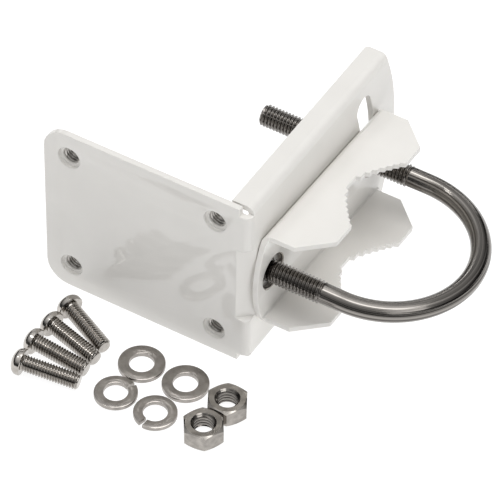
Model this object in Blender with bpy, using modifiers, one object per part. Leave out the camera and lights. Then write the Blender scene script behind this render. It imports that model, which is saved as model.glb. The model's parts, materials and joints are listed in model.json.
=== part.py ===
"""Pole mount kit: an angle bracket, a toothed saddle clamp, a U-bolt and their loose fasteners.

The kit lies on a flat surface, at Z = 0.  Sizes are in metres.  The bracket's own frame has the fold
between its two plates as its origin: the radio plate lies along -X, the pole plate along +Y, and the
outer faces of both are at Y = 0 and X = 0.
"""
import math

import bmesh
import bpy
from mathutils import Matrix

# ---- Where the kit's middle lies in the bracket's frame ----
KIT_MIDDLE = (-0.0093, 0.0251)

# ---- Angle bracket ----
BRACKET_HEIGHT = 0.0698
RADIO_PLATE_WIDTH = 0.0790
SHEET = 0.0022
FOLD_RADIUS = 0.0026
RADIO_PLATE_CORNER = 0.0085
FLANGE_WIDTH = 0.0084
FLANGE_START = 0.0028
FLANGE_FOLD_RADIUS = 0.0029
FLANGE_LENGTH_END = 0.0902
FLANGE_CORNER = 0.0014
FAR_END_RADIUS = 0.0776
FAR_END_CENTRE = 0.0196
RELIEF_WIDTH = 0.0039
RELIEF_DEPTH = 0.0030
GUSSET_SETBACK = 0.0047
GUSSET_LOW = 0.0196
GUSSET_HIGH = 0.0510
GUSSET_WALL = 0.0014

# ---- Press-in M6 nuts of the radio plate: depths are from the plate's front face ----
PRESS_NUT_X = (-0.0692, -0.0131)
PRESS_NUT_Z = (0.0098, 0.0598)
PRESS_HOLE_RADIUS = 0.0042
PRESS_HOLE_EDGE = 0.0004
PRESS_NUT_GAP = 0.0003
PRESS_NUT_FACE = 0.0014
PRESS_NUT_MOUTH = 0.0035
PRESS_NUT_MOUTH_END = 0.0020
PRESS_NUT_BORE = 0.0030
PRESS_NUT_RADIUS = 0.0055
PRESS_NUT_END = 0.0061
PRESS_NUT_BEVEL = 0.0003

# ---- Near U-bolt leg: the point that the clamp swings about ----
PIVOT_Y = 0.0121
PIVOT_Z = 0.0349
LEG_SPACING = 0.0665
LEG_HOLE_RADIUS = 0.00475
SLOT_WIDTH = 0.0088
SLOT_HALF_ANGLE = math.radians(20.0)

# ---- Saddle clamp ----
CLAMP_TILT = math.radians(-2.75)
CLAMP_SHEET = 0.0020
CLAMP_GAP = 0.0003
CLAMP_HALF_HEIGHT = 0.0190
CLAMP_FOLD_RADIUS = 0.0026
CLAMP_END = 0.0379
CLAMP_END_MIDDLE = 0.0432
CLAMP_SHOULDER = 0.0120
CLAMP_EAR = 0.0222
CLAMP_EAR_OUTER = 0.0280
CLAMP_HOLE_RADIUS = 0.0062
CLAMP_HOLE_EDGE = 0.0006
JAW_FLOOR = 0.0115
JAW_FIRST_TOOTH = 0.0034
JAW_LAST_TOOTH = 0.0174
JAW_TEETH = 7
JAW_RISE = 0.0015
JAW_SLANT = 0.0007
JAW_CURVE = 0.8

# ---- M8 U-bolt ----
BOLT_TURN = (math.radians(-3.03), math.radians(3.95), math.radians(3.31))
BOLT_THREAD_RADIUS = 0.0040
BOLT_PLAIN_RADIUS = 0.00355
BOLT_FREE_END = -0.0357
BOLT_THREAD_END = 0.0200
BOLT_BOW_START = 0.0279
BOLT_BOW_REACH = 0.0312
BOLT_END_BEVEL = 0.0008
BOLT_BOW_STEPS = 36

# ---- Loose M6 x 20 screws: under-head point (x, y) and heading in degrees ----
SCREW_PLACES = (
    (-0.0610, -0.0129, -23.6),
    (-0.0617, -0.0225, -12.4),
    (-0.0623, -0.0321, -1.6),
    (-0.0610, -0.0421, 10.4),
)
SCREW_LENGTH = 0.0200
SCREW_RADIUS = 0.0029
SCREW_HEAD_RADIUS = 0.00465
SCREW_HEAD_RIM = 0.0014
SCREW_HEAD_HEIGHT = 0.0040
SCREW_TIP_BEVEL = 0.0006
RECESS_SPAN = 0.0046
RECESS_WIDTH = 0.0011
RECESS_DEPTH = 0.0021

# ---- Loose M8 washers and nuts: centres (x, y), nuts with the heading of a corner in degrees ----
WASHER_PLACES = ((-0.0293, -0.0190), (-0.0122, -0.0190))
WASHER_RADIUS = 0.0080
WASHER_HOLE = 0.0042
WASHER_THICKNESS = 0.0016
LOCK_WASHER_PLACES = ((-0.0295, -0.0348, 60.0), (-0.0137, -0.0355, -100.0))
LOCK_WASHER_RADIUS = 0.0074
LOCK_WASHER_HOLE = 0.0041
LOCK_WASHER_THICKNESS = 0.0020
LOCK_WASHER_SPLIT = 0.0011
LOCK_WASHER_SPLIT_LEAN = math.radians(22.0)
NUT_PLACES = ((0.0055, -0.0216, -60.9), (0.0045, -0.0350, 3.8))
NUT_ACROSS_FLATS = 0.0129
NUT_HEIGHT = 0.0065
NUT_HOLE = 0.0034
NUT_FACE_RADIUS = 0.0061
NUT_CHAMFER_SLOPE = math.radians(30.0)

# ---- Facets and room for cutters ----
ROUND_STEPS = 40
SMALL_ROUND_STEPS = 28
BEND_STEPS = 6
MOUTH_STEPS = 4
ARC_STEPS = 24
OVERRUN = 0.0020
WELD = 0.000001

MATERIALS = {
    "powder_coat": ((0.78, 0.77, 0.75, 1.0), 0.22, 0.0),
    "stainless": ((0.42, 0.40, 0.37, 1.0), 0.28, 1.0),
}

# Each plane's own two axes and its normal, as columns.
PLANES = {
    "XY": Matrix(((1, 0, 0, 0), (0, 1, 0, 0), (0, 0, 1, 0), (0, 0, 0, 1))),
    "YZ": Matrix(((0, 0, 1, 0), (1, 0, 0, 0), (0, 1, 0, 0), (0, 0, 0, 1))),
    "ZX": Matrix(((0, 1, 0, 0), (0, 0, 1, 0), (1, 0, 0, 0), (0, 0, 0, 1))),
}


def clear_scene():
    for thing in list(bpy.data.objects):
        bpy.data.objects.remove(thing, do_unlink=True)


def make_collection(name):
    collection = bpy.data.collections.new(name)
    bpy.context.scene.collection.children.link(collection)
    return collection


clear_scene()
PARTS = make_collection("pole_mount_kit")
CUTTERS = make_collection("cutters")


def make_material(name):
    colour, roughness, metallic = MATERIALS[name]
    material = bpy.data.materials.new(name)
    material.use_nodes = True
    shader = material.node_tree.nodes["Principled BSDF"]
    shader.inputs["Base Color"].default_value = colour
    shader.inputs["Roughness"].default_value = roughness
    shader.inputs["Metallic"].default_value = metallic
    material.diffuse_color = colour
    return material


def place(name, data, parent, collection=PARTS):
    thing = bpy.data.objects.new(name, data)
    collection.objects.link(thing)
    thing.parent = parent
    return thing


def arc(centre, radius, start, end, steps):
    """Points round a centre, from one angle to the other, both ends included."""
    angles = [start + (end - start) * k / steps for k in range(steps + 1)]
    return [(centre[0] + radius * math.cos(a), centre[1] + radius * math.sin(a)) for a in angles]


def prism(name, outline, plane, low, high, parent):
    """Straight solid: a closed outline in a plane, from low to high along the plane's normal."""
    curve = bpy.data.curves.new(name, "CURVE")
    curve.dimensions = "2D"
    curve.fill_mode = "BOTH"
    curve.extrude = (high - low) / 2
    spline = curve.splines.new("POLY")
    spline.points.add(len(outline) - 1)
    for point, (u, v) in zip(spline.points, outline):
        point.co = (u, v, 0.0, 1.0)
    spline.use_cyclic_u = True
    guide = place(name + "_outline", curve, None, CUTTERS)
    view = bpy.context.evaluated_depsgraph_get()
    mesh = bpy.data.meshes.new_from_object(guide.evaluated_get(view))
    bpy.data.objects.remove(guide, do_unlink=True)
    mesh.transform(PLANES[plane] @ Matrix.Translation((0, 0, (low + high) / 2)))
    weld(mesh)
    return place(name, mesh, parent)


def weld(mesh):
    build = bmesh.new()
    build.from_mesh(mesh)
    bmesh.ops.remove_doubles(build, verts=build.verts, dist=WELD)
    bmesh.ops.recalc_face_normals(build, faces=build.faces)
    build.to_mesh(mesh)
    build.free()


def round_bar(name, radius, low, high, plane, centre, parent, steps=ROUND_STEPS):
    """Cylinder along a plane's normal, from low to high, on a centre given in the plane."""
    build = bmesh.new()
    bmesh.ops.create_cone(
        build, cap_ends=True, segments=steps, radius1=radius, radius2=radius, depth=high - low
    )
    mesh = bpy.data.meshes.new(name)
    build.to_mesh(mesh)
    build.free()
    mesh.transform(PLANES[plane] @ Matrix.Translation((centre[0], centre[1], (low + high) / 2)))
    return place(name, mesh, parent)


def turned(name, profile, parent, ring=False, steps=SMALL_ROUND_STEPS):
    """Round solid about Z from (radius, height) points that run down its outer side."""
    mesh = bpy.data.meshes.new(name)
    edges = [(k, k + 1) for k in range(len(profile) - 1)]
    if ring:
        edges.append((len(profile) - 1, 0))
    mesh.from_pydata([(radius, 0.0, height) for radius, height in profile], edges, [])
    thing = place(name, mesh, parent)
    screw = thing.modifiers.new("turn", "SCREW")
    screw.steps = steps
    screw.render_steps = steps
    screw.use_merge_vertices = True
    screw.merge_threshold = WELD
    screw.use_smooth_shade = False
    return thing


def combine(target, tool, operation):
    """Boolean of a part with a tool, which is then kept out of the model."""
    modifier = target.modifiers.new(tool.name, "BOOLEAN")
    modifier.operation = operation
    modifier.solver = "EXACT"
    modifier.object = tool
    for collection in tool.users_collection:
        collection.objects.unlink(tool)
    CUTTERS.objects.link(tool)
    tool.hide_render = True
    tool.display_type = "WIRE"


def block(name, low, high, parent):
    """Box between two opposite corners."""
    corners = [(low[0], low[1]), (high[0], low[1]), (high[0], high[1]), (low[0], high[1])]
    return prism(name, corners, "XY", low[2], high[2], parent)


def hole_cutter(name, inner, edge, depth, reach, parent):
    """Turned cutter for a hole with a rounded mouth: the mouth is at height 0, the cut below it."""
    flare = []
    for k in range(MOUTH_STEPS + 1):
        along = k / MOUTH_STEPS
        radius = inner + edge * (1 - math.sqrt(max(0.0, 1 - (1 - along) ** 2)))
        flare.append((radius, -depth * along))
    profile = [(0.0, OVERRUN), (flare[0][0], OVERRUN)] + flare + [(inner, -reach), (0.0, -reach)]
    return turned(name, profile, parent, steps=ROUND_STEPS)


# ---- The kit's frame, and the empties on its joint axes ----

def make_empty(name, parent, location, turn=(0.0, 0.0, 0.0)):
    empty = place(name, None, parent)
    empty.location = location
    empty.rotation_euler = turn
    return empty


KIT = make_empty("bracket_frame", None, (-KIT_MIDDLE[0], -KIT_MIDDLE[1], 0.0))
CLAMP_PIVOT = make_empty("clamp_pivot", KIT, (0.0, PIVOT_Y, PIVOT_Z), (CLAMP_TILT, 0.0, 0.0))
BOLT_SLIDE = make_empty("u_bolt_slide", KIT, (0.0, PIVOT_Y, PIVOT_Z), BOLT_TURN)


# ---- Angle bracket ----

def fold_plan():
    """Seen from above: the radio plate, the fold, and the start of the pole plate."""
    centre = (-FOLD_RADIUS, FOLD_RADIUS)
    stub = FOLD_RADIUS + SHEET * 2
    outside = arc(centre, FOLD_RADIUS, math.radians(-90), 0.0, BEND_STEPS)
    inside = arc(centre, FOLD_RADIUS - SHEET, 0.0, math.radians(-90), BEND_STEPS)
    left = -RADIO_PLATE_WIDTH - OVERRUN
    return [(left, 0.0)] + outside + [(0.0, stub), (-SHEET, stub)] + inside + [(left, SHEET)]


def radio_plate_face():
    """Seen from the front, as (Z, X): rounded outer corners, and square past the fold."""
    r = RADIO_PLATE_CORNER
    left = -RADIO_PLATE_WIDTH
    top = BRACKET_HEIGHT
    low_corner = arc((r, left + r), r, math.radians(180), math.radians(270), BEND_STEPS)
    high_corner = arc((top - r, left + r), r, math.radians(270), math.radians(360), BEND_STEPS)
    return low_corner + high_corner + [(top, OVERRUN), (0.0, OVERRUN)]


def channel_section():
    """The pole plate with its two flanges, as (Z, X)."""
    outer = FLANGE_FOLD_RADIUS
    inner = FLANGE_FOLD_RADIUS - SHEET
    top = BRACKET_HEIGHT
    quarter = math.radians(90)
    low = (outer, -outer)
    high = (top - outer, -outer)
    outline = [(0.0, -FLANGE_WIDTH)]
    outline += arc(low, outer, 2 * quarter, quarter, BEND_STEPS)
    outline += arc(high, outer, quarter, 0.0, BEND_STEPS)
    outline += [(top, -FLANGE_WIDTH), (top - SHEET, -FLANGE_WIDTH)]
    outline += arc(high, inner, 0.0, quarter, BEND_STEPS)
    outline += arc(low, inner, quarter, 2 * quarter, BEND_STEPS)
    outline += [(SHEET, -FLANGE_WIDTH)]
    return outline


def far_end_outline():
    """Seen square to the pole plate, as (Y, Z): its bowed far end between the flange ends."""
    middle = BRACKET_HEIGHT / 2
    half = math.acos((FLANGE_LENGTH_END - FAR_END_CENTRE) / FAR_END_RADIUS)
    bow = arc((FAR_END_CENTRE, middle), FAR_END_RADIUS, -half, half, ARC_STEPS)
    low = (FLANGE_LENGTH_END, -OVERRUN)
    high = (FLANGE_LENGTH_END, BRACKET_HEIGHT + OVERRUN)
    return [(-OVERRUN, -OVERRUN), low] + bow + [high, (-OVERRUN, BRACKET_HEIGHT + OVERRUN)]


def flange_corner_waste():
    """What is cut off the free corner of a flange, seen from above."""
    r = FLANGE_CORNER
    corner = (-FLANGE_WIDTH, FLANGE_LENGTH_END)
    centre = (corner[0] + r, corner[1] - r)
    rounding = arc(centre, r, math.radians(90), math.radians(180), BEND_STEPS)
    side = (corner[0] - OVERRUN, centre[1])
    end = (centre[0], corner[1] + OVERRUN)
    return [end] + rounding + [side, (side[0], end[1])]


def slot_outline():
    """Curved slot for the far leg, as (Y, Z), about the near leg."""
    pivot = (PIVOT_Y, PIVOT_Z)
    half_width = SLOT_WIDTH / 2
    a = SLOT_HALF_ANGLE
    quarter = math.radians(90)
    outline = arc(pivot, LEG_SPACING + half_width, -a, a, ARC_STEPS)
    for angle, start, end in ((a, a, a + 2 * quarter), (-a, -a + 2 * quarter, -a + 4 * quarter)):
        centre = (
            pivot[0] + LEG_SPACING * math.cos(angle),
            pivot[1] + LEG_SPACING * math.sin(angle),
        )
        outline += arc(centre, half_width, start, end, BEND_STEPS * 2)[1:-1]
        if angle > 0:
            outline += arc(pivot, LEG_SPACING - half_width, a, -a, ARC_STEPS)
    return outline


def add_gusset(bracket):
    """A rib pressed inwards across the fold."""
    thick = SHEET * math.sqrt(2)
    inner = GUSSET_SETBACK + thick
    root = SHEET / 2
    bulge = [(SHEET - inner, SHEET), (SHEET - inner, root), (-root, root), (-root, inner - SHEET)]
    bulge += [(-SHEET, inner - SHEET)]
    wall = GUSSET_WALL
    rib = prism("gusset_bulge", bulge, "XY", GUSSET_LOW - wall, GUSSET_HIGH + wall, KIT)
    combine(bracket, rib, "UNION")
    past = OVERRUN
    dent = [(-GUSSET_SETBACK - past, -past), (past, -past), (past, GUSSET_SETBACK + past)]
    combine(bracket, prism("gusset_dent", dent, "XY", GUSSET_LOW, GUSSET_HIGH, KIT), "DIFFERENCE")


def press_nut_places():
    """Number, X and Z of each press-in nut."""
    places = [(x, z) for x in PRESS_NUT_X for z in PRESS_NUT_Z]
    return [(number, x, z) for number, (x, z) in enumerate(places, 1)]


def add_press_holes(bracket):
    """Round-lipped holes through the radio plate for the press-in nuts."""
    sizes = (PRESS_HOLE_RADIUS, PRESS_HOLE_EDGE, PRESS_HOLE_EDGE, SHEET + OVERRUN)
    for number, x, z in press_nut_places():
        hole = hole_cutter(f"press_hole_{number}", *sizes, KIT)
        hole.location = (x, 0.0, z)
        hole.rotation_euler = (math.radians(90), 0.0, 0.0)
        combine(bracket, hole, "DIFFERENCE")


def make_bracket(material):
    top = BRACKET_HEIGHT
    bracket = prism("l_bracket", fold_plan(), "XY", -OVERRUN, top + OVERRUN, KIT)
    bracket.data.materials.append(material)
    face = prism("radio_plate_face", radio_plate_face(), "ZX", -OVERRUN, FOLD_RADIUS * 4, KIT)
    combine(bracket, face, "INTERSECT")
    for name, low, high in (
        ("low_relief", -OVERRUN, RELIEF_DEPTH),
        ("high_relief", top - RELIEF_DEPTH, top + OVERRUN),
    ):
        relief = block(name, (-RELIEF_WIDTH, -OVERRUN, low), (OVERRUN, FOLD_RADIUS * 4, high), KIT)
        combine(bracket, relief, "DIFFERENCE")
    far = FAR_END_CENTRE + FAR_END_RADIUS + OVERRUN
    channel = prism("pole_plate", channel_section(), "ZX", FLANGE_START, far, KIT)
    outline = prism("far_end", far_end_outline(), "YZ", -FLANGE_WIDTH - OVERRUN, OVERRUN, KIT)
    combine(channel, outline, "INTERSECT")
    waste = prism("flange_corners", flange_corner_waste(), "XY", -OVERRUN, top + OVERRUN, KIT)
    combine(channel, waste, "DIFFERENCE")
    combine(bracket, channel, "UNION")
    add_gusset(bracket)
    add_press_holes(bracket)
    slot = prism("slot", slot_outline(), "YZ", -SHEET - OVERRUN, OVERRUN, KIT)
    combine(bracket, slot, "DIFFERENCE")
    pivot = (PIVOT_Y, PIVOT_Z)
    hole = round_bar("leg_hole", LEG_HOLE_RADIUS, -SHEET - OVERRUN, OVERRUN, "YZ", pivot, KIT)
    combine(bracket, hole, "DIFFERENCE")
    return bracket


def make_press_nut(number, x, z, material):
    """Round nut behind the plate: its shank stands in the plate's hole, short of the front face."""
    shank = PRESS_HOLE_RADIUS - PRESS_NUT_GAP
    back = SHEET + PRESS_NUT_GAP
    profile = [
        (PRESS_NUT_MOUTH, -PRESS_NUT_FACE),
        (shank, -PRESS_NUT_FACE),
        (shank, -back),
        (PRESS_NUT_RADIUS, -back),
        (PRESS_NUT_RADIUS, PRESS_NUT_BEVEL - PRESS_NUT_END),
        (PRESS_NUT_RADIUS - PRESS_NUT_BEVEL, -PRESS_NUT_END),
        (PRESS_NUT_BORE, -PRESS_NUT_END),
        (PRESS_NUT_BORE, -PRESS_NUT_MOUTH_END),
    ]
    nut = turned(f"press_nut_{number}", profile, KIT, ring=True)
    nut.data.materials.append(material)
    nut.location = (x, 0.0, z)
    nut.rotation_euler = (math.radians(90), 0.0, 0.0)
    return nut


# ---- Saddle clamp, in the frame of its pivot: the near leg is at Y = 0, the far leg at +Y ----

def clamp_section():
    """The clamp's web and flanges, as (Z, X)."""
    back = CLAMP_GAP
    outer = CLAMP_FOLD_RADIUS
    inner = CLAMP_FOLD_RADIUS - CLAMP_SHEET
    half = CLAMP_HALF_HEIGHT
    reach = CLAMP_EAR + OVERRUN
    quarter = math.radians(90)
    high = (half - outer, back + outer)
    low = (outer - half, back + outer)
    outline = [(half, reach)]
    outline += arc(high, outer, 0.0, -quarter, BEND_STEPS)
    outline += arc(low, outer, -quarter, -2 * quarter, BEND_STEPS)
    outline += [(-half, reach), (CLAMP_SHEET - half, reach)]
    outline += arc(low, inner, -2 * quarter, -quarter, BEND_STEPS)
    outline += arc(high, inner, -quarter, 0.0, BEND_STEPS)
    outline += [(half - CLAMP_SHEET, reach)]
    return outline


def jaw_flank():
    """Half of the jaw from its floor out to the ear, as (X, distance from the middle)."""
    points = []
    for k in range(JAW_TEETH):
        step = k / (JAW_TEETH - 1)
        across = JAW_FIRST_TOOTH + (JAW_LAST_TOOTH - JAW_FIRST_TOOTH) * step ** JAW_CURVE
        depth = JAW_FLOOR + JAW_RISE * k
        points.append((depth, across))
        points.append((depth + JAW_RISE, across + JAW_SLANT))
    points.append((CLAMP_EAR, points[-1][1] + JAW_SLANT / 2))
    return points


def clamp_outline():
    """Seen from above, as (X, Y): web ends, shoulders, ears and the toothed jaw."""
    web = CLAMP_GAP + CLAMP_FOLD_RADIUS
    past = CLAMP_END_MIDDLE + OVERRUN
    half = jaw_flank()
    half += [(CLAMP_EAR, CLAMP_EAR_OUTER), (CLAMP_SHOULDER, CLAMP_END), (web, CLAMP_END)]
    half += [(web, past), (-OVERRUN, past)]
    middle = LEG_SPACING / 2
    far = [(x, middle + across) for x, across in half]
    near = [(x, middle - across) for x, across in reversed(half)]
    return near + far


def clamp_web_face():
    """Seen square to the web, as (Y, Z): both ends bow outwards."""
    half = CLAMP_HALF_HEIGHT
    bow = CLAMP_END_MIDDLE - CLAMP_END
    radius = (half ** 2 + bow ** 2) / (2 * bow)
    centre = CLAMP_END_MIDDLE - radius
    spread = math.asin((half + OVERRUN / 2) / radius)
    middle = LEG_SPACING / 2
    far = arc((middle + centre, 0.0), radius, -spread, spread, ARC_STEPS)
    turn = math.radians(180)
    near = arc((middle - centre, 0.0), radius, turn - spread, turn + spread, ARC_STEPS)
    return far + near


def make_clamp(material):
    past = CLAMP_END_MIDDLE + OVERRUN
    middle = LEG_SPACING / 2
    section = clamp_section()
    clamp = prism("saddle_clamp", section, "ZX", middle - past, middle + past, CLAMP_PIVOT)
    clamp.data.materials.append(material)
    tall = CLAMP_HALF_HEIGHT + OVERRUN
    plan = prism("clamp_plan", clamp_outline(), "XY", -tall, tall, CLAMP_PIVOT)
    combine(clamp, plan, "INTERSECT")
    face = prism("clamp_face", clamp_web_face(), "YZ", -OVERRUN, CLAMP_EAR + OVERRUN, CLAMP_PIVOT)
    combine(clamp, face, "INTERSECT")
    front = CLAMP_GAP + CLAMP_SHEET
    for name, y in (("near", 0.0), ("far", LEG_SPACING)):
        sizes = (CLAMP_HOLE_RADIUS, CLAMP_HOLE_EDGE, CLAMP_HOLE_EDGE, CLAMP_SHEET + OVERRUN)
        hole = hole_cutter(name + "_clamp_hole", *sizes, CLAMP_PIVOT)
        hole.location = (front, y, 0.0)
        hole.rotation_euler = (0.0, math.radians(90), 0.0)
        combine(clamp, hole, "DIFFERENCE")
    return clamp


# ---- U-bolt, in its own frame: legs along X, the near one on the X axis ----

def leg_stations():
    """One leg from its free end to the bow, as (x, radius)."""
    thread = BOLT_THREAD_RADIUS
    plain = BOLT_PLAIN_RADIUS
    step = thread - plain
    return [
        (BOLT_FREE_END, thread - BOLT_END_BEVEL),
        (BOLT_FREE_END + BOLT_END_BEVEL, thread),
        (BOLT_THREAD_END - step, thread),
        (BOLT_THREAD_END, plain),
    ]


def make_u_bolt(material):
    half = LEG_SPACING / 2
    near = [(x, 0.0, radius) for x, radius in leg_stations()]
    far = [(x, LEG_SPACING, radius) for x, radius in reversed(leg_stations())]
    bow = []
    for k in range(BOLT_BOW_STEPS + 1):
        angle = math.pi * k / BOLT_BOW_STEPS
        x = BOLT_BOW_START + BOLT_BOW_REACH * math.sin(angle)
        bow.append((x, half - half * math.cos(angle), BOLT_PLAIN_RADIUS))
    curve = bpy.data.curves.new("u_bolt", "CURVE")
    curve.dimensions = "3D"
    curve.bevel_depth = BOLT_THREAD_RADIUS
    curve.bevel_resolution = 4
    curve.use_fill_caps = True
    spline = curve.splines.new("POLY")
    stations = near + bow + far
    spline.points.add(len(stations) - 1)
    for point, (x, y, radius) in zip(spline.points, stations):
        point.co = (x, y, 0.0, 1.0)
        point.radius = radius / BOLT_THREAD_RADIUS
    curve.materials.append(material)
    return place("u_bolt", curve, BOLT_SLIDE)


# ---- Loose fasteners ----

def screw_profile():
    """Head above height 0 and shank below it, down the outer side."""
    head = SCREW_HEAD_RADIUS
    top = SCREW_HEAD_HEIGHT
    crown = top - SCREW_HEAD_RIM
    dome = []
    for k in range(BEND_STEPS + 1):
        angle = math.radians(90) * (1 - k / BEND_STEPS)
        dome.append((head * math.cos(angle), SCREW_HEAD_RIM + crown * math.sin(angle)))
    shank = SCREW_RADIUS
    bevel = SCREW_TIP_BEVEL
    end = -SCREW_LENGTH
    return dome + [(head, 0.0), (shank, 0.0), (shank, end + bevel), (shank - bevel, end), (0.0, end)]


def make_screw(number, x, y, heading, material):
    """Screw lying on the rim of its head and on its tip."""
    lean = math.asin((SCREW_HEAD_RADIUS - SCREW_RADIUS) / SCREW_LENGTH)
    screw = turned(f"screw_{number}", screw_profile(), KIT)
    screw.data.materials.append(material)
    screw.location = (x, y, SCREW_HEAD_RADIUS * math.cos(lean))
    screw.rotation_euler = (0.0, lean - math.radians(90), math.radians(heading))
    floor = SCREW_HEAD_HEIGHT - RECESS_DEPTH
    for name, half_x, half_y in (
        ("long_slot", RECESS_SPAN / 2, RECESS_WIDTH / 2),
        ("cross_slot", RECESS_WIDTH / 2, RECESS_SPAN / 2),
    ):
        low = (-half_x, -half_y, floor)
        high = (half_x, half_y, SCREW_HEAD_HEIGHT + OVERRUN)
        combine(screw, block(f"{name}_{number}", low, high, screw), "DIFFERENCE")
    return screw


def ring_profile(inner, outer, thickness):
    return [(inner, thickness), (outer, thickness), (outer, 0.0), (inner, 0.0)]


def make_washer(number, x, y, material):
    profile = ring_profile(WASHER_HOLE, WASHER_RADIUS, WASHER_THICKNESS)
    washer = turned(f"flat_washer_{number}", profile, KIT, ring=True)
    washer.data.materials.append(material)
    washer.location = (x, y, 0.0)
    return washer


def make_lock_washer(number, x, y, heading, material):
    profile = ring_profile(LOCK_WASHER_HOLE, LOCK_WASHER_RADIUS, LOCK_WASHER_THICKNESS)
    washer = turned(f"lock_washer_{number}", profile, KIT, ring=True)
    washer.data.materials.append(material)
    washer.location = (x, y, 0.0)
    washer.rotation_euler = (0.0, 0.0, math.radians(heading))
    reach = LOCK_WASHER_RADIUS + OVERRUN
    half = LOCK_WASHER_SPLIT / 2
    tall = LOCK_WASHER_THICKNESS * 2
    low = (0.0, -half, -tall)
    high = (reach, half, tall)
    split = block(f"split_{number}", low, high, washer)
    split.location = (0.0, 0.0, LOCK_WASHER_THICKNESS / 2)
    split.rotation_euler = (LOCK_WASHER_SPLIT_LEAN, 0.0, 0.0)
    combine(washer, split, "DIFFERENCE")
    return washer


def make_nut(number, x, y, heading, material):
    corner = NUT_ACROSS_FLATS / 2 / math.cos(math.radians(30))
    centre = (0.0, 0.0)
    nut = round_bar(f"hex_nut_{number}", corner, 0.0, NUT_HEIGHT, "XY", centre, KIT, steps=6)
    nut.data.transform(Matrix.Rotation(math.radians(90), 4, "Z"))
    nut.data.materials.append(material)
    nut.location = (x, y, 0.0)
    nut.rotation_euler = (0.0, 0.0, math.radians(heading))
    wide = corner + OVERRUN
    drop = (wide - NUT_FACE_RADIUS) * math.tan(NUT_CHAMFER_SLOPE)
    profile = [(0.0, NUT_HEIGHT), (NUT_FACE_RADIUS, NUT_HEIGHT), (wide, NUT_HEIGHT - drop)]
    profile += [(wide, drop), (NUT_FACE_RADIUS, 0.0), (0.0, 0.0)]
    combine(nut, turned(f"nut_chamfer_{number}", profile, nut), "INTERSECT")
    reach = (-OVERRUN, NUT_HEIGHT + OVERRUN)
    hole = round_bar(f"nut_hole_{number}", NUT_HOLE, *reach, "XY", centre, nut, SMALL_ROUND_STEPS)
    combine(nut, hole, "DIFFERENCE")
    return nut


def make_kit():
    coat = make_material("powder_coat")
    steel = make_material("stainless")
    make_bracket(coat)
    for number, x, z in press_nut_places():
        make_press_nut(number, x, z, coat)
    make_clamp(coat)
    make_u_bolt(steel)
    for number, (x, y, heading) in enumerate(SCREW_PLACES, 1):
        make_screw(number, x, y, heading, steel)
    for number, (x, y) in enumerate(WASHER_PLACES, 1):
        make_washer(number, x, y, steel)
    for number, (x, y, heading) in enumerate(LOCK_WASHER_PLACES, 1):
        make_lock_washer(number, x, y, heading, steel)
    for number, (x, y, heading) in enumerate(NUT_PLACES, 1):
        make_nut(number, x, y, heading, steel)


make_kit()
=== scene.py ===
"""Looks of the pole mount kit: white powder coated sheet, and stainless fasteners with real threads."""

import math

import bmesh
import bpy
import numpy as np
from mathutils import Matrix, Vector
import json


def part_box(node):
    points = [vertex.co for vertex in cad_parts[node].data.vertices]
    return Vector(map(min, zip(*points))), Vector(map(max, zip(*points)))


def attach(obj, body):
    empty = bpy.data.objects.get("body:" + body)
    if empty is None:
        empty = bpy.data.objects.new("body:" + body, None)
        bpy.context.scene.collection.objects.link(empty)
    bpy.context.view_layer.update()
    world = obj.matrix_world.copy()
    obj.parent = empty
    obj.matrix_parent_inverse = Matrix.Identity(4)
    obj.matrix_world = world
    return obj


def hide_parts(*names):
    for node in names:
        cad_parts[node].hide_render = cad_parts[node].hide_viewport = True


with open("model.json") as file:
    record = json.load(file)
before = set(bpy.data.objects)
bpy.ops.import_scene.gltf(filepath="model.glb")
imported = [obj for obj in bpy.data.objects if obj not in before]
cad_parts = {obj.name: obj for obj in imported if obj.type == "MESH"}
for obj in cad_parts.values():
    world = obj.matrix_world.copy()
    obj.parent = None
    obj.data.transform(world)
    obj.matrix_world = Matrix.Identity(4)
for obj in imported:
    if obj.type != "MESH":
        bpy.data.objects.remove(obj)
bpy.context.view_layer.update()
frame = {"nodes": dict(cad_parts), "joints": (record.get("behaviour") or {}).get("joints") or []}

VIEW_HEADING = -60.04
VIEW_HEIGHT = 45.10
VIEW_ROLL = 1.32
VIEW_DISTANCE = 1.2372
VIEW_AIM = (-0.0020, -0.0050, 0.0307)
LENS = 268.6
SENSOR = 36.0
CLIP_START = 0.01
CLIP_END = 100.0

# ---- Studio: each soft box has a name, place, width, height and power ----
FLOOR_HALF = 30.0
FLOOR_DROP = 0.0002
FLOOR_COLOUR = (0.28, 0.28, 0.28)
FLOOR_GLOW = 0.90
SKY_LOW = 0.03
SKY_HIGH = 0.90
SKY_DARK_BELOW = 0.33
SKY_BRIGHT_ABOVE = 0.93
SOFT_BOXES = (
    ("soft_box", (0.20, 0.10, 1.60), 1.05, 1.05, 9.0),
    ("small_soft_box", (-0.60, -0.35, 1.40), 0.18, 0.18, 1.5),
    ("side_box", (1.00, -0.40, 0.95), 0.90, 0.50, 2.8),
    ("back_strip", (-0.70, 1.20, 0.60), 1.50, 0.14, 1.8),
)

# ---- Powder coat ----
COAT_COLOURS = ((0.825, 0.807, 0.773), (0.855, 0.837, 0.803))
COAT_CLOUDS = 60.0
COAT_GRAIN = 1600.0
COAT_ROUGHNESS = (0.01, 0.035)
COAT_PEEL = 380.0
COAT_PEEL_HEIGHT = 0.0002
COAT_PEEL_STRENGTH = 0.03

# ---- Drawn rod: scales are along the rod, round it, and a third that the pattern doesn't use ----
ROD_BANDS = (0.5, 950.0, 1.0)
# The bands' dark and light colours are painted reflection lines running along the rod
ROD_REFLECTION_BAND_EDGES = (0.36, 0.64)
ROD_REFLECTION_BAND_COLOURS = ((0.05, 0.046, 0.042), (0.36, 0.34, 0.317))
ROD_BAND_HEIGHT = 0.0004
ROD_BAND_STRENGTH = 0.5
# Painted shade in the rod's thread roots
ROD_ROOT_SHADE_COLOUR = (0.19, 0.177, 0.165)
ROD_STREAKS = (1.5, 3000.0, 1.0)
ROD_ROUGHNESS = (0.09, 0.20)
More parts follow.
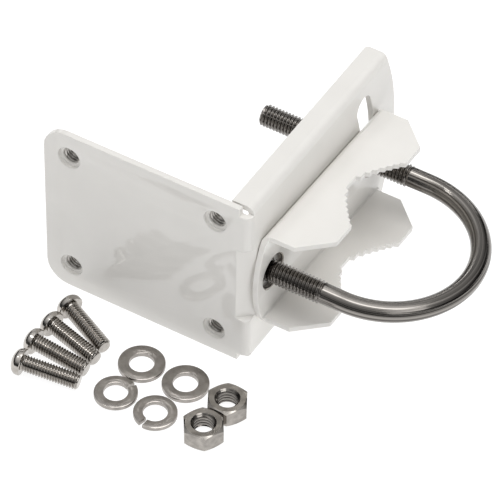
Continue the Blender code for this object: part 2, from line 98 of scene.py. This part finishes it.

# ---- Stainless fasteners: light colour, dark colour, thread root colour (painted shade in the thread grooves), least and most roughness ----
STEELS = {
    "screw_steel_look": ((0.58, 0.55, 0.515), (0.38, 0.358, 0.332), (0.25, 0.233, 0.216), 0.12, 0.20),
    "washer_steel_look": ((0.42, 0.395, 0.37), (0.27, 0.252, 0.235), (0.1, 0.1, 0.1), 0.13, 0.24),
    "nut_steel_look": ((0.42, 0.395, 0.365), (0.25, 0.234, 0.216), (0.10, 0.093, 0.086), 0.09, 0.17),
    # A lighter steel for the press nuts' threads: painted light inside their shaded holes, with painted
    # shade in the roots
    "nut_thread_painted_light_look": ((0.74, 0.72, 0.69), (0.60, 0.58, 0.555), (0.40, 0.385, 0.365), 0.30, 0.42),
}
STEEL_CLOUDS = 330.0
STEEL_SCUFFS = 2600.0
SCUFF_HEIGHT = 0.00003
SCUFF_STRENGTH = 0.12

# ---- Shader nodes: the middle range of a noise, and a colour mix's two colour sockets ----
NOISE_LOW = 0.3
NOISE_HIGH = 0.7
MIX_COLOUR_SOCKETS = (6, 7)

# ---- Thread forms: pitch, crest radius and root radius ----
M8_ROD = (0.00125, 0.00398, 0.00338)
M6_SCREW = (0.00100, 0.00289, 0.00243)
M6_NUT = (0.00100, 0.00250, 0.00300)
M8_NUT = (0.00125, 0.00340, 0.00396)
THREAD_MARKS = (0.0, 0.25, 0.5625, 0.6875)
THREAD_SIDES = 36
RUN_OUT_DEPTH = 0.2

# ---- U-bolt ----
ROD_RADIUS = 0.00355
ROD_THREAD = 0.0566
ROD_LEG = 0.0636
ROD_END_RADIUS = 0.0032
ROD_END_SLICE = ROD_RADIUS / 20
BOW_STEPS = 72

# ---- Screws, from the plane under the head ----
SCREWS = 4
SCREW_LENGTH = 0.0200
SCREW_TIP_RADIUS = 0.0022
SCREW_NECK_RADIUS = 0.0026
HEAD_HEIGHT = 0.0040
HEAD_RIM = 0.0013
HEAD_RADIUS = 0.00464
HEAD_FILLET = 0.00025
DOME_STEPS = 10
RECESS_SPAN = 0.0046
RECESS_WIDTH = 0.0011
RECESS_DEPTH = 0.0021
RECESS_NARROWING = 0.55

# ---- Washers and nuts ----
FLAT_WASHERS = 2
RING_SIDES = 96
EDGE_SLANT = 0.3
WASHER_HOLE = 0.0042
WASHER_EDGE = 0.00034
LOCK_HOLE = 0.0041
LOCK_EDGE = 0.00036
LOCK_GAP = 0.0008
LOCK_LEAN = 0.0008
LOCK_RISE = 0.00030
LOCK_HEADINGS = {"lock_washer_1": math.radians(60.0), "lock_washer_2": math.radians(-100.0)}
NUT_FLATS = 0.0129
NUT_FACE_RADIUS = 0.0061
NUT_MOUTH = 0.00035
NUT_CHAMFER = math.tan(math.radians(30.0))
HALF_FLAT = math.radians(30.0)
NUT_CORNERS = {"hex_nut_1": math.radians(-60.9), "hex_nut_2": math.radians(3.8)}

# ---- Sheet parts ----
SHEET = 0.0022
SHEET_BEVEL = 0.00020
BEVEL_STEPS = 3
DARK_LIP_RADIUS = 0.0072
DARK_LIP_TILT = math.cos(math.radians(12.0))
SHARP = math.radians(30.0)
FLAT = math.radians(0.3)

BRACKET_MERGE = 0.00007
CLAMP_MERGE = 0.00013
GUSSET_ENDS = ((0.0196, -1), (0.0510, 1))
GUSSET_SHALLOW = 0.00100
GUSSET_ROUND = 0.0018
GUSSET_STEPS = 8

# ---- Press-in nuts: depths are from the radio plate's face ----
PRESS_NUTS = 4
PRESS_SHANK = 0.00422
PRESS_FACE = 0.0011
PRESS_MOUTH = 0.0034
PRESS_THREAD = 0.0020
PRESS_BORE = 0.0031
PRESS_EDGE = 0.0003
PRESS_EDGE_SLANT = 1.4
PRESS_GAP = 0.00028
PRESS_CURVE_STEPS = 5

# ---- Merging of points: a distance, and the decimals of a CAD point ----
WELD = 0.0000005
POINT_DECIMALS = 7


# ---- Material helpers ----

def new_material(name):
    material = bpy.data.materials.new(name)
    material.use_nodes = True
    tree = material.node_tree
    return material, tree, tree.nodes["Principled BSDF"]


def noise(tree, vector, scale, detail=3.0, roughness=0.5):
    texture = tree.nodes.new("ShaderNodeTexNoise")
    texture.inputs["Scale"].default_value = scale
    texture.inputs["Detail"].default_value = detail
    texture.inputs["Roughness"].default_value = roughness
    tree.links.new(vector, texture.inputs["Vector"])
    return texture.outputs["Fac"]


def spread(tree, value, low, high, start=NOISE_LOW, end=NOISE_HIGH):
    """The value's middle range stretched to run from low to high."""
    node = tree.nodes.new("ShaderNodeMapRange")
    tree.links.new(value, node.inputs["Value"])
    node.inputs["From Min"].default_value = start
    node.inputs["From Max"].default_value = end
    node.inputs["To Min"].default_value = low
    node.inputs["To Max"].default_value = high
    return node.outputs["Result"]


def mix(tree, factor, first, second):
    """A colour between two, each a colour or a socket."""
    node = tree.nodes.new("ShaderNodeMix")
    node.data_type = "RGBA"
    tree.links.new(factor, node.inputs["Factor"])
    for index, value in zip(MIX_COLOUR_SOCKETS, (first, second)):
        socket = node.inputs[index]
        if isinstance(value, tuple):
            socket.default_value = (*value, 1.0)
        else:
            tree.links.new(value, socket)
    return node.outputs[2]


def stretched(tree, vector, scale):
    node = tree.nodes.new("ShaderNodeMapping")
    node.inputs["Scale"].default_value = scale
    tree.links.new(vector, node.inputs["Vector"])
    return node.outputs["Vector"]


def own_place(tree):
    return tree.nodes.new("ShaderNodeTexCoord").outputs["Object"]


def thread_depth(tree):
    """0 on a thread's crest and 1 at its root; it says where shade is painted into the roots."""
    node = tree.nodes.new("ShaderNodeAttribute")
    node.attribute_name = "thread_depth"
    return node.outputs["Fac"]


def bump(tree, shader, height, distance, strength):
    node = tree.nodes.new("ShaderNodeBump")
    node.inputs["Strength"].default_value = strength
    node.inputs["Distance"].default_value = distance
    tree.links.new(height, node.inputs["Height"])
    tree.links.new(node.outputs["Normal"], shader.inputs["Normal"])


# ---- Materials ----

def powder_coat_look():
    """Glossy warm white powder coat with a faint orange peel."""
    material, tree, shader = new_material("powder_coat_look")
    place = own_place(tree)
    cloud = spread(tree, noise(tree, place, COAT_CLOUDS), 0.0, 1.0)
    tree.links.new(mix(tree, cloud, *COAT_COLOURS), shader.inputs["Base Color"])
    grain = noise(tree, place, COAT_GRAIN, detail=2.0)
    tree.links.new(spread(tree, grain, *COAT_ROUGHNESS), shader.inputs["Roughness"])
    peel = noise(tree, place, COAT_PEEL, detail=2.0)
    bump(tree, shader, peel, COAT_PEEL_HEIGHT, COAT_PEEL_STRENGTH)
    return material


def rod_steel_look():
    """Drawn stainless rod: streaks along it, bumpy bands round it whose dark and light colours are painted
    reflection lines, and painted shade in the thread roots.
    """
    material, tree, shader = new_material("rod_steel_look")
    node = tree.nodes.new("ShaderNodeUVMap")
    node.uv_map = "rod"
    along = node.outputs["UV"]
    streaks = noise(tree, stretched(tree, along, ROD_STREAKS), 1.0, detail=4.0, roughness=0.6)
    bands = noise(tree, stretched(tree, along, ROD_BANDS), 1.0, detail=3.0, roughness=0.6)
    # The bands' colours are painted dark and light reflection lines; the same bands also bump the surface
    steel = mix(tree, spread(tree, bands, 0.0, 1.0, *ROD_REFLECTION_BAND_EDGES), *ROD_REFLECTION_BAND_COLOURS)
    # The thread roots darken towards the root colour: painted shade in the grooves
    colour = mix(tree, thread_depth(tree), steel, ROD_ROOT_SHADE_COLOUR)
    tree.links.new(colour, shader.inputs["Base Color"])
    tree.links.new(spread(tree, streaks, *ROD_ROUGHNESS), shader.inputs["Roughness"])
    shader.inputs["Metallic"].default_value = 1.0
    bump(tree, shader, bands, ROD_BAND_HEIGHT, ROD_BAND_STRENGTH)
    return material


def stainless_look(name, light, dark, root, smoothest, roughest):
    """Stainless steel: a cloudy sheen, fine scuffs, and painted shade in the thread roots."""
    material, tree, shader = new_material(name)
    place = own_place(tree)
    cloud = spread(tree, noise(tree, place, STEEL_CLOUDS), 0.0, 1.0)
    # The root colour is painted shade, laid into the thread grooves by their depth
    colour = mix(tree, thread_depth(tree), mix(tree, cloud, dark, light), root)
    tree.links.new(colour, shader.inputs["Base Color"])
    scuffs = noise(tree, place, STEEL_SCUFFS, detail=4.0, roughness=0.7)
    tree.links.new(spread(tree, scuffs, smoothest, roughest), shader.inputs["Roughness"])
    shader.inputs["Metallic"].default_value = 1.0
    bump(tree, shader, scuffs, SCUFF_HEIGHT, SCUFF_STRENGTH)
    return material


# ---- Mesh helpers ----

def new_build():
    """A bmesh with a place along the rod for each face corner and a thread depth for each point."""
    build = bmesh.new()
    build.loops.layers.uv.new("rod")
    build.verts.layers.float.new("thread_depth")
    return build


def to_mesh(build, name):
    mesh = bpy.data.meshes.new(name)
    build.to_mesh(mesh)
    build.free()
    return mesh


def carved(mesh, cutter_mesh):
    """The mesh with the cutter's volume taken away."""
    solid = bpy.data.objects.new("solid", mesh)
    cutter = bpy.data.objects.new("cutter", cutter_mesh)
    for thing in (solid, cutter):
        bpy.context.scene.collection.objects.link(thing)
    cut = solid.modifiers.new("cut", "BOOLEAN")
    cut.object = cutter
    cut.solver = "EXACT"
    bpy.context.view_layer.update()
    result = bpy.data.meshes.new_from_object(solid.evaluated_get(bpy.context.evaluated_depsgraph_get()))
    bpy.data.objects.remove(solid)
    bpy.data.objects.remove(cutter)
    return result


def to_piece(build, name, material, body, node=None):
    """A piece from a bmesh, riding on a body and standing for a CAD node."""
    bmesh.ops.remove_doubles(build, verts=build.verts, dist=WELD)
    bmesh.ops.dissolve_degenerate(build, edges=build.edges, dist=WELD)
    bmesh.ops.recalc_face_normals(build, faces=build.faces)
    mesh = to_mesh(build, name)
    mesh.materials.append(material)
    mesh.shade_smooth()
    mesh.set_sharp_from_angle(angle=SHARP)
    piece = bpy.data.objects.new(name, mesh)
    bpy.context.scene.collection.objects.link(piece)
    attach(piece, body)
    if node:
        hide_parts(node)
    return piece


def node_points(node):
    """A CAD node's corner points at rest."""
    points = [v.co for v in frame["nodes"][node].data.vertices]
    return np.unique(np.round(np.array(points, float), POINT_DECIMALS), axis=0)


def axes(origin, x_axis, y_near):
    """A frame with X along one direction and Y close to another."""
    x = Vector(x_axis).normalized()
    z = x.cross(Vector(y_near)).normalized()
    matrix = Matrix((x, z.cross(x), z)).transposed().to_4x4()
    matrix.translation = origin
    return matrix


def straight(matrix):
    """A line along a frame's X, as centre, sideways and up directions at each distance."""
    origin = matrix.translation.copy()
    x, y, z = (matrix.col[k].to_3d() for k in range(3))
    return lambda distance: (origin + x * distance, y, z)


def add_skin(build, line, rows, depths=None, lag=0, mirror=False):
    """Skin between rings of (distance, radius) pairs round a line.

    A ring's last side meets the first side of the ring that follows it by the lag.
    """
    sides = len(rows[0])
    uv = build.loops.layers.uv["rod"]
    depth_layer = build.verts.layers.float["thread_depth"]
    grid = []
    for i, row in enumerate(rows):
        ring = []
        for j, (distance, radius) in enumerate(row):
            centre, sideways, up = line(distance)
            angle = math.tau * j / sides
            vertex = build.verts.new(centre + radius * (math.sin(angle) * sideways - math.cos(angle) * up))
            vertex[depth_layer] = depths[i][j] if depths else 0.0
            ring.append(vertex)
        grid.append(ring)
    for i in range(len(rows) - 1):
        for j in range(sides):
            last = j == sides - 1
            beside = i + lag if last else i
            if beside + 1 >= len(rows):
                continue
            k = 0 if last else j + 1
            face = build.faces.new((grid[i][j], grid[beside][k], grid[beside + 1][k], grid[i + 1][j]))
            corners = ((i, j, j), (beside, k, j + 1), (beside + 1, k, j + 1), (i + 1, j, j))
            for loop, (r, c, turn) in zip(face.loops, corners):
                spot = sides - turn if mirror else turn
                loop[uv].uv = (rows[r][c][0], math.tau * spot / sides * ROD_RADIUS)
    return grid


def plain_row(distance, radius, sides=THREAD_SIDES):
    return [(distance, radius)] * sides


def thread_rows(start, end, form, start_radius, end_radius, fade=1.0, sides=THREAD_SIDES):
    """Rings that follow a thread's helix and run out to a plain ring at both ends, with their depths."""
    pitch, crest, root = form
    bases = (root, root, crest, crest)
    rows = []
    depths = []
    for turn in range(math.ceil((end - start) / pitch) + 2):
        for mark, base in zip(THREAD_MARKS, bases):
            row = []
            depth = []
            for j in range(sides):
                distance = start + pitch * (turn - 1 + mark + j / sides)
                distance = min(max(distance, start), end)
                early = distance - start
                late = (end - distance) * fade
                radius = min(max(base, start_radius - early), start_radius + early)
                radius = min(max(radius, end_radius - late), end_radius + late)
                row.append((distance, radius))
                depth.append((crest - base) / (crest - root) if radius == base else RUN_OUT_DEPTH)
            rows.append(row)
            depths.append(depth)
    return rows, depths


def add_thread(build, line, start, end, form, start_radius, end_radius, fade=1.0, mirror=False):
    rows, depths = thread_rows(start, end, form, start_radius, end_radius, fade)
    return add_skin(build, line, rows, depths, len(THREAD_MARKS), mirror)


# ---- Sheet parts ----

def make_sheet(node, name, material, body, merge, cutters=()):
    """The CAD solid with its flat facets joined, and its edges rounded as the coating rounds them."""
    build = new_build()
    build.from_mesh(frame["nodes"][node].data)
    bmesh.ops.remove_doubles(build, verts=build.verts, dist=merge)
    bmesh.ops.dissolve_limit(build, angle_limit=FLAT, verts=build.verts, edges=build.edges)
    mesh = to_mesh(build, name)
    for cutter in cutters:
        mesh = carved(mesh, cutter)
    build = new_build()
    build.from_mesh(mesh)
    piece = to_piece(build, name, material, body, node)
    bevel = piece.modifiers.new("coated_edge", "BEVEL")
    bevel.width = SHEET_BEVEL
    bevel.segments = BEVEL_STEPS
    bevel.limit_method = "ANGLE"
    bevel.angle_limit = SHARP
    bevel.use_clamp_overlap = False
    bevel.harden_normals = True
    return piece


def gusset_rounding(level, way):
    """Cutter that rounds an end of the dent in the bracket's fold: way is 1 at its top, -1 at its bottom."""
    low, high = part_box("l_bracket")
    corner = Vector((high.x, low.y, 0.0))
    sections = [(level - way * GUSSET_ROUND / 2, GUSSET_SHALLOW + GUSSET_ROUND)]
    for k in range(GUSSET_STEPS + 1):
        along = k / GUSSET_STEPS
        depth = GUSSET_SHALLOW + GUSSET_ROUND * (1 - math.sqrt(1 - (1 - along) ** 2))
        sections.append((level + way * GUSSET_ROUND * along, depth))
    build = bmesh.new()
    rings = []
    for z, depth in sections:
        reach = depth * math.sqrt(2) + SHEET
        corners = ((-reach, -SHEET), (SHEET, -SHEET), (SHEET, reach))
        rings.append([build.verts.new(corner + Vector((x, y, z))) for x, y in corners])
    for below, above in zip(rings, rings[1:]):
        for k in range(3):
            after = (k + 1) % 3
            build.faces.new((below[k], below[after], above[after], above[k]))
    build.faces.new(rings[0])
    build.faces.new(rings[-1])
    bmesh.ops.recalc_face_normals(build, faces=build.faces)
    return to_mesh(build, "gusset_rounding")


def make_press_nuts(coating, steel):
    """Nuts pressed into the radio plate, coated outside, with a bare thread inside."""
    for number in range(1, PRESS_NUTS + 1):
        node = f"press_nut_{number}"
        low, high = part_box(node)
        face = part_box("l_bracket")[0].y
        origin = Vector(((low.x + high.x) / 2, face, (low.z + high.z) / 2))
        line = straight(axes(origin, (0, 1, 0), (0, 0, 1)))
        outer = (high.x - low.x) / 2
        end = high.y - face
        rows = []
        for k in range(PRESS_CURVE_STEPS + 1):
            turn = math.pi / 2 * k / PRESS_CURVE_STEPS
            radius = PRESS_SHANK - PRESS_EDGE * (1 - math.cos(turn)) * PRESS_EDGE_SLANT
            rows.append(plain_row(PRESS_FACE + PRESS_EDGE * math.sin(turn), radius))
        for k in range(PRESS_CURVE_STEPS + 1):
            turn = math.pi / 2 * k / PRESS_CURVE_STEPS
            radius = PRESS_MOUTH - (PRESS_MOUTH - PRESS_BORE) * math.sin(turn)
            depth = PRESS_THREAD - (PRESS_THREAD - PRESS_FACE - PRESS_EDGE) * math.cos(turn)
            rows.append(plain_row(depth, radius))
        rows += [
            plain_row(end, PRESS_BORE), plain_row(end, outer - PRESS_EDGE),
            plain_row(end - PRESS_EDGE, outer), plain_row(low.y - face - PRESS_GAP, outer),
            plain_row(low.y - face - PRESS_GAP, PRESS_SHANK), rows[0],
        ]
        build = new_build()
        add_skin(build, line, rows)
        to_piece(build, f"{node}_coated", coating, "bracket", node)
        root = M6_NUT[2]
        build = new_build()
        add_thread(build, line, PRESS_THREAD, end, M6_NUT, root, root)
        shell = [
            plain_row(PRESS_THREAD, root), plain_row(PRESS_THREAD, PRESS_BORE),
            plain_row(end, PRESS_BORE), plain_row(end, root),
        ]
        add_skin(build, line, shell)
        to_piece(build, f"{node}_thread", steel, "bracket")


def dark_hole_lips(piece, steel):
    """The faces round the clamp's two leg holes take the dark nut steel, a dark ring round each hole."""
    _, lines, _ = bolt_legs()
    mesh = piece.data
    mesh.materials.append(steel)
    for face in mesh.polygons:
        for line in lines:
            start, _, _ = line(0.0)
            end, _, _ = line(1.0)
            axis = end - start
            aside = (face.center - start).cross(axis).length
            flatness = abs(face.normal.dot(axis))
            if aside < DARK_LIP_RADIUS and flatness < DARK_LIP_TILT:
                face.material_index = 1


# ---- U-bolt ----

def bolt_legs():
    """The U-bolt's leg spacing, its two legs' lines from their free ends, and its whole reach."""
    slide = next(j for j in frame["joints"] if j["name"] == "u_bolt_slide")
    axis = Vector(slide["axis"]).normalized()
    points = node_points("u_bolt")
    along = points @ np.array(axis)
    ends = points[along < along.min() + ROD_END_SLICE]
    middle = ends[:, 1].mean()
    near = Vector(ends[ends[:, 1] < middle].mean(axis=0))
    far = Vector(ends[ends[:, 1] > middle].mean(axis=0))
    near += axis * (along.min() - near.dot(axis))
    spacing = (far - near).length
    near_frame = axes(near, axis, far - near)
    far_frame = near_frame.copy()
    far_frame.translation = near + near_frame.col[1].to_3d() * spacing
    return spacing, (straight(near_frame), straight(far_frame)), along.max() - along.min()


def make_u_bolt(material):
    """Two threaded legs and a half-oval bow."""
    spacing, lines, whole = bolt_legs()
    near, y, z = lines[0](0.0)
    x = lines[0](1.0)[0] - near
    half = spacing / 2
    reach = whole - ROD_LEG - ROD_RADIUS
    bow_length = math.pi * (half + reach) / 2

    def bow(distance):
        angle = math.pi * min(max((distance - ROD_LEG) / bow_length, 0.0), 1.0)
        centre = near + x * (ROD_LEG + reach * math.sin(angle)) + y * (half - half * math.cos(angle))
        tangent = x * (reach * math.cos(angle)) + y * (half * math.sin(angle))
        return centre, z.cross(tangent).normalized(), z

    build = new_build()
    for line, mirror in zip(lines, (False, True)):
        ring = add_thread(
            build, line, 0.0, ROD_THREAD, M8_ROD, ROD_END_RADIUS, ROD_RADIUS, 0.5, mirror
        )[0]
        build.faces.new(ring)
        plain = [plain_row(ROD_THREAD, ROD_RADIUS), plain_row(ROD_LEG, ROD_RADIUS)]
        add_skin(build, line, plain, mirror=mirror)
    rows = [plain_row(ROD_LEG + bow_length * k / BOW_STEPS, ROD_RADIUS) for k in range(BOW_STEPS + 1)]
    add_skin(build, bow, rows)
    return to_piece(build, "u_bolt_rod", material, "u_bolt", "u_bolt")


# ---- Screws ----

def screw_mesh():
    """One screw along +X from the plane under its head, with a domed cross-recess head."""
    line = straight(Matrix.Identity(4))
    build = new_build()
    rows = [plain_row(0.0, SCREW_NECK_RADIUS + HEAD_FILLET)]
    rows.append(plain_row(HEAD_FILLET, SCREW_NECK_RADIUS))
    add_skin(build, line, rows)
    thread = add_thread(
        build, line, HEAD_FILLET, SCREW_LENGTH, M6_SCREW, SCREW_NECK_RADIUS, SCREW_TIP_RADIUS
    )
    build.faces.new(thread[-1])
    dome = HEAD_HEIGHT - HEAD_RIM
    rows = [
        plain_row(0.0, SCREW_NECK_RADIUS + HEAD_FILLET),
        plain_row(0.0, HEAD_RADIUS - HEAD_FILLET),
        plain_row(-HEAD_FILLET, HEAD_RADIUS),
        plain_row(-HEAD_RIM, HEAD_RADIUS),
    ]
    for k in range(1, DOME_STEPS):
        angle = math.pi / 2 * k / DOME_STEPS
        rows.append(plain_row(-HEAD_RIM - dome * math.sin(angle), HEAD_RADIUS * math.cos(angle)))
    grid = add_skin(build, line, rows)
    build.faces.new(grid[-1])
    bmesh.ops.remove_doubles(build, verts=build.verts, dist=WELD)
    bmesh.ops.dissolve_degenerate(build, edges=build.edges, dist=WELD)
    bmesh.ops.recalc_face_normals(build, faces=build.faces)
    screw = to_mesh(build, "screw")
    for turn in (0, 1):
        screw = carved(screw, recess_wing(turn))
    return screw


def recess_wing(turn):
    """Half of the tapered cross recess."""
    build = bmesh.new()
    top = -HEAD_HEIGHT - RECESS_WIDTH
    floor = -HEAD_HEIGHT + RECESS_DEPTH
    corners = []
    for distance, size in ((top, 1.0), (floor, RECESS_NARROWING)):
        for across, up in ((-1, -1), (1, -1), (1, 1), (-1, 1)):
            wide = across * RECESS_SPAN / 2 * size
            high = up * RECESS_WIDTH / 2
            corners.append(build.verts.new((distance, wide, high) if turn else (distance, high, wide)))
    for face in ((0, 1, 2, 3), (7, 6, 5, 4), (0, 4, 5, 1), (1, 5, 6, 2), (2, 6, 7, 3), (3, 7, 4, 0)):
        build.faces.new([corners[k] for k in face])
    bmesh.ops.recalc_face_normals(build, faces=build.faces)
    return to_mesh(build, "recess")


def make_screws(material):
    mesh = screw_mesh()
    for number in range(1, SCREWS + 1):
        node = f"screw_{number}"
        points = node_points(node)
        centre = points.mean(axis=0)
        spin = np.linalg.svd(points - centre, full_matrices=False)[2]
        axis = spin[0]
        along = (points - centre) @ axis
        aside = np.linalg.norm(points - centre - np.outer(along, axis), axis=1)
        if along[aside.argmax()] > 0:
            axis = -axis
            along = -along
        origin = Vector(centre + axis * (along.max() - SCREW_LENGTH))
        matrix = axes(origin, axis, (0, 0, 1))
        build = bmesh.new()
        build.from_mesh(mesh)
        build.transform(matrix)
        to_piece(build, f"{node}_threaded", material, node, node)


# ---- Washers and nuts ----

def add_lathe(build, centre, profile, headings, closed, twist=None):
    """A profile of (radius, height) points swept round a vertical line."""
    grid = []
    for index, heading in enumerate(headings):
        lift = twist(index) if twist else 0.0
        ring = []
        for radius, height in profile:
            lean = LOCK_LEAN * (height - profile[0][1]) / radius if twist else 0.0
            angle = heading + lean
            spot = (radius * math.cos(angle), radius * math.sin(angle), height + lift)
            ring.append(build.verts.new(centre + Vector(spot)))
        grid.append(ring)
    count = len(profile)
    spans = len(headings) if closed else len(headings) - 1
    for i in range(spans):
        after = grid[(i + 1) % len(headings)]
        for k in range(count):
            build.faces.new((grid[i][k], after[k], after[(k + 1) % count], grid[i][(k + 1) % count]))
    if not closed:
        build.faces.new(grid[0])
        build.faces.new(reversed(grid[-1]))


def rounded_section(inner, outer, low, high, edge, under):
    """A ring's section: rounded upper edges, and smaller lower ones."""
    steep = edge * EDGE_SLANT
    return [
        (inner + under, low), (outer - under, low), (outer, low + under), (outer, high - edge),
        (outer - steep, high - steep), (outer - edge, high), (inner + edge, high),
        (inner + steep, high - steep), (inner, high - edge), (inner, low + under),
    ]


def make_washers(material):
    for number in range(1, FLAT_WASHERS + 1):
        node = f"flat_washer_{number}"
        low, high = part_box(node)
        centre = Vector(((low.x + high.x) / 2, (low.y + high.y) / 2, 0.0))
        outer = (high.x - low.x) / 2
        section = rounded_section(WASHER_HOLE, outer, low.z, high.z, WASHER_EDGE, WASHER_EDGE / 3)
        build = new_build()
        headings = [math.tau * k / RING_SIDES for k in range(RING_SIDES)]
        add_lathe(build, centre, section, headings, True)
        to_piece(build, f"{node}_stamped", material, node, node)


def make_lock_washers(material):
    """Split rings whose ends stand a little apart and at different heights."""
    for node, heading in LOCK_HEADINGS.items():
        low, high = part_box(node)
        centre = Vector(((low.x + high.x) / 2, (low.y + high.y) / 2, 0.0))
        outer = (high.y - low.y) / 2
        top = high.z - LOCK_RISE
        section = rounded_section(LOCK_HOLE, outer, low.z, top, LOCK_EDGE, LOCK_EDGE)
        half_gap = LOCK_GAP / 2 / LOCK_HOLE
        count = RING_SIDES
        sweep = math.tau - 2 * half_gap
        headings = [heading + half_gap + sweep * k / count for k in range(count + 1)]
        build = new_build()
        add_lathe(build, centre, section, headings, False, lambda k: LOCK_RISE * k / count)
        to_piece(build, f"{node}_split", material, node, node)


def make_nuts(material):
    """Chamfered hex nuts with a cut thread."""
    sides = THREAD_SIDES
    for node, corner in NUT_CORNERS.items():
        low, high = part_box(node)
        centre = Vector(((low.x + high.x) / 2, (low.y + high.y) / 2, low.z))
        height = high.z - low.z
        spin = Matrix.Rotation(corner, 3, "Z")
        line = straight(axes(centre, (0, 0, 1), spin @ Vector((1, 0, 0))))
        chamfer_low = []
        chamfer_high = []
        for j in range(sides):
            angle = math.tau * j / sides
            radius = NUT_FLATS / 2 / math.cos((angle + HALF_FLAT) % (2 * HALF_FLAT) - HALF_FLAT)
            drop = max(0.0, radius - NUT_FACE_RADIUS) * NUT_CHAMFER
            chamfer_low.append((drop, radius))
            chamfer_high.append((height - drop, radius))
        root = M8_NUT[2]
        build = new_build()
        sink = NUT_MOUTH
        rows = [
            plain_row(sink, root), plain_row(0.0, root + sink), plain_row(0.0, NUT_FACE_RADIUS),
            chamfer_low, chamfer_high, plain_row(height, NUT_FACE_RADIUS),
            plain_row(height, root + sink), plain_row(height - sink, root),
        ]
        add_skin(build, line, rows)
        add_thread(build, line, sink, height - sink, M8_NUT, root, root)
        to_piece(build, f"{node}_threaded", material, node, node)


# ---- Studio ----

def make_floor():
    mesh = bpy.data.meshes.new("floor")
    half = FLOOR_HALF
    corners = [(-half, -half, -FLOOR_DROP), (half, -half, -FLOOR_DROP)]
    corners += [(half, half, -FLOOR_DROP), (-half, half, -FLOOR_DROP)]
    mesh.from_pydata(corners, [], [(0, 1, 2, 3)])
    material, _, shader = new_material("floor_look")
    shader.inputs["Base Color"].default_value = (*FLOOR_COLOUR, 1.0)
    shader.inputs["Roughness"].default_value = 1.0
    shader.inputs["Specular IOR Level"].default_value = 0.0
    shader.inputs["Emission Color"].default_value = (1.0, 1.0, 1.0, 1.0)
    shader.inputs["Emission Strength"].default_value = FLOOR_GLOW
    mesh.materials.append(material)
    floor = bpy.data.objects.new("floor", mesh)
    bpy.context.scene.collection.objects.link(floor)


def make_sky():
    """Soft room light: bright overhead and dim towards the horizon."""
    world = bpy.data.worlds.new("studio")
    world.use_nodes = True
    tree = world.node_tree
    node = tree.nodes.new("ShaderNodeSeparateXYZ")
    tree.links.new(tree.nodes.new("ShaderNodeTexCoord").outputs["Generated"], node.inputs["Vector"])
    light = spread(tree, node.outputs["Z"], SKY_LOW, SKY_HIGH, SKY_DARK_BELOW, SKY_BRIGHT_ABOVE)
    tree.links.new(light, tree.nodes["Background"].inputs["Strength"])
    tree.nodes["Background"].inputs["Color"].default_value = (1.0, 1.0, 1.0, 1.0)
    bpy.context.scene.world = world


def make_lamps():
    for name, place, width, height, power in SOFT_BOXES:
        lamp = bpy.data.lights.new(name, "AREA")
        lamp.shape = "RECTANGLE"
        lamp.size = width
        lamp.size_y = height
        lamp.energy = power
        soft_box = bpy.data.objects.new(name, lamp)
        soft_box.location = place
        soft_box.rotation_euler = Vector(place).to_track_quat("Z", "Y").to_euler()
        bpy.context.scene.collection.objects.link(soft_box)


def make_camera():
    heading = math.radians(VIEW_HEADING)
    height = math.radians(VIEW_HEIGHT)
    back = Vector((
        math.cos(height) * math.cos(heading), math.cos(height) * math.sin(heading), math.sin(height),
    ))
    right = Vector((0, 0, 1)).cross(back).normalized()
    rolled = Matrix.Rotation(math.radians(VIEW_ROLL), 3, back) @ right
    matrix = Matrix((rolled, back.cross(rolled), back)).transposed().to_4x4()
    matrix.translation = Vector(VIEW_AIM) + back * VIEW_DISTANCE
    camera_data = bpy.data.cameras.new("camera")
    camera_data.lens = LENS
    camera_data.sensor_width = SENSOR
    camera_data.clip_start = CLIP_START
    camera_data.clip_end = CLIP_END
    camera = bpy.data.objects.new("camera", camera_data)
    camera.matrix_world = matrix
    bpy.context.scene.collection.objects.link(camera)
    bpy.context.scene.camera = camera
    bpy.context.scene.view_settings.view_transform = "Standard"


coat = powder_coat_look()
rod_steel = rod_steel_look()
steels = {name: stainless_look(name, *finish) for name, finish in STEELS.items()}

dents = [gusset_rounding(level, way) for level, way in GUSSET_ENDS]
make_sheet("l_bracket", "bracket_sheet", coat, "bracket", BRACKET_MERGE, dents)
clamp_sheet = make_sheet("saddle_clamp", "clamp_sheet", coat, "saddle_clamp", CLAMP_MERGE)
dark_hole_lips(clamp_sheet, steels["nut_steel_look"])
make_press_nuts(coat, steels["nut_thread_painted_light_look"])
make_u_bolt(rod_steel)
make_screws(steels["screw_steel_look"])
make_washers(steels["washer_steel_look"])
make_lock_washers(steels["washer_steel_look"])
make_nuts(steels["nut_steel_look"])
make_floor()
make_sky()
make_lamps()
make_camera()
